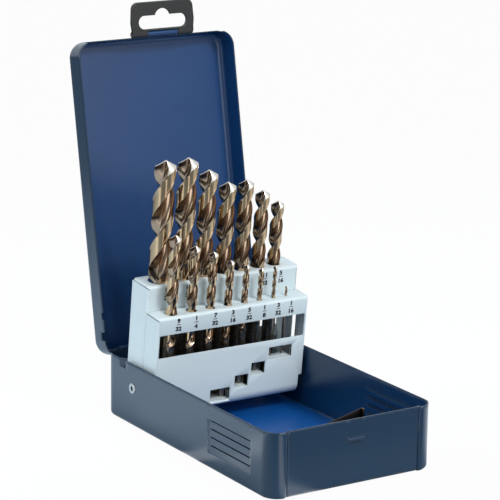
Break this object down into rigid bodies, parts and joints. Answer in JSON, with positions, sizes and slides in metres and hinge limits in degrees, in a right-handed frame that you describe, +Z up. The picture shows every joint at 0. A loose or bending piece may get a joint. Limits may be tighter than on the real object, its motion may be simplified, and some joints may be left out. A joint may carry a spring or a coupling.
{
  "type": "drill bit case",
  "caption": "Sheet-steel drill bit case with a hinged lid, a hang tab that latches it, and a stepped bit holder that swings up on two rivets.",
  "frame": {"origin": "centre of the base's underside, where the case stands", "axes": "+X to the right across the case, +Y back to the rear hinge, +Z up; the lid stands open, the holder is raised and the hang tab stands up"},
  "size_m": [0.1114, 0.2326, 0.2402],
  "materials": {
    "blue_paint": "gloss blue stove enamel",
    "grey_paint": "satin light grey enamel",
    "bright_steel": "bright zinc plate",
    "spring_steel": "browned spring steel",
    "black_plastic": "satin black moulded plastic",
    "cobalt_steel": "bronze oxide on ground tool steel"
  },
  "bodies": {
    "base": {"base_tray": "blue_paint", "base_hinge_leaf": "blue_paint", "hinge_pin": "bright_steel", "leaf_spring": "spring_steel", "pivot_rivet_left": "bright_steel", "pivot_rivet_right": "bright_steel", "pivot_washer_left": "bright_steel", "pivot_washer_right": "bright_steel"},
    "lid": {"lid_shell": "blue_paint", "lid_hinge_leaf": "blue_paint", "lid_front_knuckle": "blue_paint", "tab_pin": "bright_steel"},
    "tab": {"hang_tab": "black_plastic"},
    "holder": {"holder_front": "grey_paint", "holder_rear": "grey_paint"},
    "bit_1_16": {"bit_1_16": "cobalt_steel"},
    "bit_3_32": {"bit_3_32": "cobalt_steel"},
    "bit_1_8": {"bit_1_8": "cobalt_steel"},
    "bit_5_32": {"bit_5_32": "cobalt_steel"},
    "bit_3_16": {"bit_3_16": "cobalt_steel"},
    "bit_7_32": {"bit_7_32": "cobalt_steel"},
    "bit_1_4": {"bit_1_4": "cobalt_steel"},
    "bit_9_32": {"bit_9_32": "cobalt_steel"},
    "bit_5_16": {"bit_5_16": "cobalt_steel"},
    "bit_11_32": {"bit_11_32": "cobalt_steel"},
    "bit_3_8": {"bit_3_8": "cobalt_steel"},
    "bit_13_32": {"bit_13_32": "cobalt_steel"},
    "bit_7_16": {"bit_7_16": "cobalt_steel"},
    "bit_15_32": {"bit_15_32": "cobalt_steel"},
    "bit_1_2": {"bit_1_2": "cobalt_steel"}
  },
  "joints": [
    {"name": "lid_hinge", "type": "hinge", "parent": "base", "child": "lid", "pos_m": [0, 0.094, 0.037], "axis": [1, 0, 0], "range_deg": [0, 100.6]},
    {"name": "holder_fold", "type": "hinge", "parent": "base", "child": "holder", "pos_m": [0, 0.0585, 0.0235], "axis": [1, 0, 0], "range_deg": [0, 84]},
    {"name": "tab_hinge", "type": "hinge", "parent": "lid", "child": "tab", "pos_m": [0.005, 0.12804, 0.22077], "axis": [1, 0, 0], "range_deg": [-5.6, 84.4]},
    {"name": "bit_1_16_lift", "type": "slide", "parent": "holder", "child": "bit_1_16", "axis": [0, 0.1045, -0.9945], "range_m": [-0.039, 0]},
    {"name": "bit_3_32_lift", "type": "slide", "parent": "holder", "child": "bit_3_32", "axis": [0, 0.1045, -0.9945], "range_m": [-0.039, 0]},
    {"name": "bit_1_8_lift", "type": "slide", "parent": "holder", "child": "bit_1_8", "axis": [0, 0.1045, -0.9945], "range_m": [-0.0472, 0]},
    {"name": "bit_5_32_lift", "type": "slide", "parent": "holder", "child": "bit_5_32", "axis": [0, 0.1045, -0.9945], "range_m": [-0.0536, 0]},
    {"name": "bit_3_16_lift", "type": "slide", "parent": "holder", "child": "bit_3_16", "axis": [0, 0.1045, -0.9945], "range_m": [-0.0602, 0]},
    {"name": "bit_7_32_lift", "type": "slide", "parent": "holder", "child": "bit_7_32", "axis": [0, 0.1045, -0.9945], "range_m": [-0.0602, 0]},
    {"name": "bit_1_4_lift", "type": "slide", "parent": "holder", "child": "bit_1_4", "axis": [0, 0.1045, -0.9945], "range_m": [-0.0629, 0]},
    {"name": "bit_9_32_lift", "type": "slide", "parent": "holder", "child": "bit_9_32", "axis": [0, 0.1045, -0.9945], "range_m": [-0.0626, 0]},
    {"name": "bit_5_16_lift", "type": "slide", "parent": "holder", "child": "bit_5_16", "axis": [0, 0.1045, -0.9945], "range_m": [-0.0792, 0]},
    {"name": "bit_11_32_lift", "type": "slide", "parent": "holder", "child": "bit_11_32", "axis": [0, 0.1045, -0.9945], "range_m": [-0.0792, 0]},
    {"name": "bit_3_8_lift", "type": "slide", "parent": "holder", "child": "bit_3_8", "axis": [0, 0.1045, -0.9945], "range_m": [-0.0792, 0]},
    {"name": "bit_13_32_lift", "type": "slide", "parent": "holder", "child": "bit_13_32", "axis": [0, 0.1045, -0.9945], "range_m": [-0.0792, 0]},
    {"name": "bit_7_16_lift", "type": "slide", "parent": "holder", "child": "bit_7_16", "axis": [0, 0.1045, -0.9945], "range_m": [-0.0792, 0]},
    {"name": "bit_15_32_lift", "type": "slide", "parent": "holder", "child": "bit_15_32", "axis": [0, 0.1045, -0.9945], "range_m": [-0.0792, 0]},
    {"name": "bit_1_2_lift", "type": "slide", "parent": "holder", "child": "bit_1_2", "axis": [0, 0.1045, -0.9945], "range_m": [-0.0792, 0]}
  ],
  "couplings": [
    {"joint": "holder_fold", "follows": "lid_hinge", "ratio": 0.834}
  ]
}
